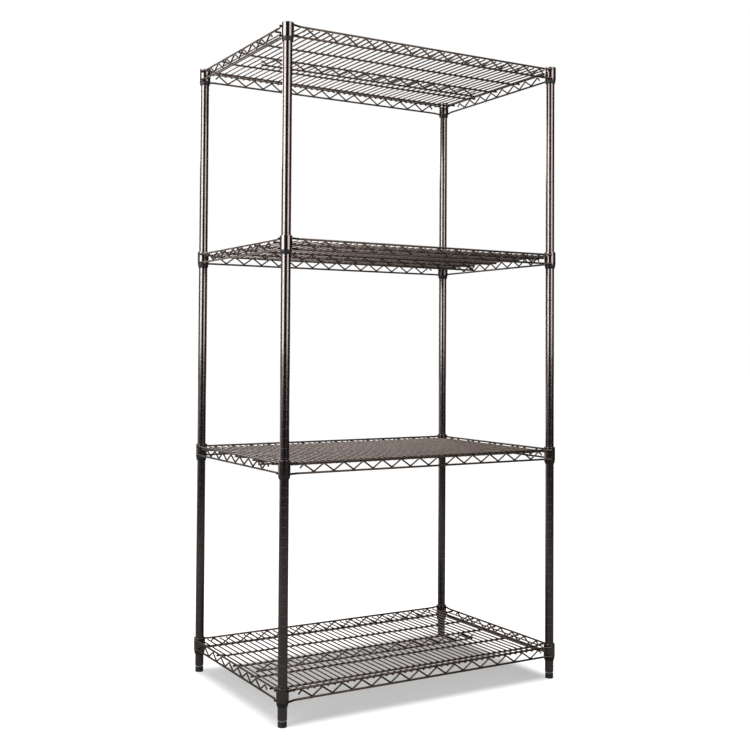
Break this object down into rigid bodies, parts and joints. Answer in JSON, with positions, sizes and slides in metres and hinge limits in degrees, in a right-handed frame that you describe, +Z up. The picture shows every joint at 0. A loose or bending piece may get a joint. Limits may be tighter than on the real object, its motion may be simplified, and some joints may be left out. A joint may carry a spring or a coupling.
{
  "type": "wire shelving rack",
  "caption": "Free-standing wire shelving rack: grooved round posts, welded wire shelves with truss edges and corner collars on split sleeves, and screw levelling feet.",
  "frame": {"origin": "middle of the rack on the floor", "axes": "+X along the long side to the right, +Y to the rear, +Z up"},
  "size_m": [0.922, 0.6172, 1.829],
  "materials": {
    "epoxy_post": "dark anthracite epoxy coat on steel tube, glossy",
    "epoxy_shelf": "dark anthracite epoxy coat on welded steel wire, semi-gloss",
    "black_plastic": "moulded black plastic",
    "zinc_steel": "bright zinc-plated steel",
    "foot_plastic": "hard black foot pad"
  },
  "bodies": {
    "posts": {"post_front_left": "epoxy_post", "cap_front_left": "black_plastic", "insert_front_left": "black_plastic", "post_front_right": "epoxy_post", "cap_front_right": "black_plastic", "insert_front_right": "black_plastic", "post_rear_left": "epoxy_post", "cap_rear_left": "black_plastic", "insert_rear_left": "black_plastic", "post_rear_right": "epoxy_post", "cap_rear_right": "black_plastic", "insert_rear_right": "black_plastic", "sleeves_top": "black_plastic", "sleeves_upper": "black_plastic", "sleeves_lower": "black_plastic", "sleeves_bottom": "black_plastic"},
    "shelf_top": {"collars_top": "epoxy_shelf", "front_truss_top": "epoxy_shelf", "rear_truss_top": "epoxy_shelf", "left_truss_top": "epoxy_shelf", "right_truss_top": "epoxy_shelf", "stringers_top": "epoxy_shelf", "centre_lacing_top": "epoxy_shelf", "deck_top": "epoxy_shelf"},
    "shelf_upper": {"collars_upper": "epoxy_shelf", "front_truss_upper": "epoxy_shelf", "rear_truss_upper": "epoxy_shelf", "left_truss_upper": "epoxy_shelf", "right_truss_upper": "epoxy_shelf", "stringers_upper": "epoxy_shelf", "centre_lacing_upper": "epoxy_shelf", "deck_upper": "epoxy_shelf"},
    "shelf_lower": {"collars_lower": "epoxy_shelf", "front_truss_lower": "epoxy_shelf", "rear_truss_lower": "epoxy_shelf", "left_truss_lower": "epoxy_shelf", "right_truss_lower": "epoxy_shelf", "stringers_lower": "epoxy_shelf", "centre_lacing_lower": "epoxy_shelf", "deck_lower": "epoxy_shelf"},
    "shelf_bottom": {"collars_bottom": "epoxy_shelf", "front_truss_bottom": "epoxy_shelf", "rear_truss_bottom": "epoxy_shelf", "left_truss_bottom": "epoxy_shelf", "right_truss_bottom": "epoxy_shelf", "stringers_bottom": "epoxy_shelf", "centre_lacing_bottom": "epoxy_shelf", "deck_bottom": "epoxy_shelf"},
    "pad_front_left": {"foot_pad_front_left": "foot_plastic"},
    "bolt_front_left": {"leveller_bolt_front_left": "zinc_steel"},
    "pad_front_right": {"foot_pad_front_right": "foot_plastic"},
    "bolt_front_right": {"leveller_bolt_front_right": "zinc_steel"},
    "pad_rear_left": {"foot_pad_rear_left": "foot_plastic"},
    "bolt_rear_left": {"leveller_bolt_rear_left": "zinc_steel"},
    "pad_rear_right": {"foot_pad_rear_right": "foot_plastic"},
    "bolt_rear_right": {"leveller_bolt_rear_right": "zinc_steel"}
  },
  "joints": [
    {"name": "shelf_top_lift", "type": "slide", "parent": "posts", "child": "shelf_top", "axis": [0, 0, 1], "range_m": [0, 0.15]},
    {"name": "shelf_upper_lift", "type": "slide", "parent": "posts", "child": "shelf_upper", "axis": [0, 0, 1], "range_m": [0, 0.508]},
    {"name": "shelf_lower_lift", "type": "slide", "parent": "posts", "child": "shelf_lower", "axis": [0, 0, 1], "range_m": [0, 0.534]},
    {"name": "shelf_bottom_lift", "type": "slide", "parent": "posts", "child": "shelf_bottom", "axis": [0, 0, 1], "range_m": [0, 0.534]},
    {"name": "foot_height_front_left", "type": "slide", "parent": "posts", "child": "pad_front_left", "axis": [0, 0, -1], "range_m": [0, 0.015]},
    {"name": "foot_screw_front_left", "type": "hinge", "parent": "pad_front_left", "child": "bolt_front_left", "pos_m": [-0.4402, -0.2878, 0.017], "axis": [0, 0, -1], "range_deg": [0, 3601]},
    {"name": "foot_height_front_right", "type": "slide", "parent": "posts", "child": "pad_front_right", "axis": [0, 0, -1], "range_m": [0, 0.015]},
    {"name": "foot_screw_front_right", "type": "hinge", "parent": "pad_front_right", "child": "bolt_front_right", "pos_m": [0.4402, -0.2878, 0.017], "axis": [0, 0, -1], "range_deg": [0, 3601]},
    {"name": "foot_height_rear_left", "type": "slide", "parent": "posts", "child": "pad_rear_left", "axis": [0, 0, -1], "range_m": [0, 0.015]},
    {"name": "foot_screw_rear_left", "type": "hinge", "parent": "pad_rear_left", "child": "bolt_rear_left", "pos_m": [-0.4402, 0.2878, 0.017], "axis": [0, 0, -1], "range_deg": [0, 3601]},
    {"name": "foot_height_rear_right", "type": "slide", "parent": "posts", "child": "pad_rear_right", "axis": [0, 0, -1], "range_m": [0, 0.015]},
    {"name": "foot_screw_rear_right", "type": "hinge", "parent": "pad_rear_right", "child": "bolt_rear_right", "pos_m": [0.4402, 0.2878, 0.017], "axis": [0, 0, -1], "range_deg": [0, 3601]}
  ],
  "couplings": [
    {"joint": "foot_screw_front_left", "follows": "foot_height_front_left", "rad_per_m": 4188.8},
    {"joint": "foot_screw_front_right", "follows": "foot_height_front_right", "rad_per_m": 4188.8},
    {"joint": "foot_screw_rear_left", "follows": "foot_height_rear_left", "rad_per_m": 4188.8},
    {"joint": "foot_screw_rear_right", "follows": "foot_height_rear_right", "rad_per_m": 4188.8}
  ]
}
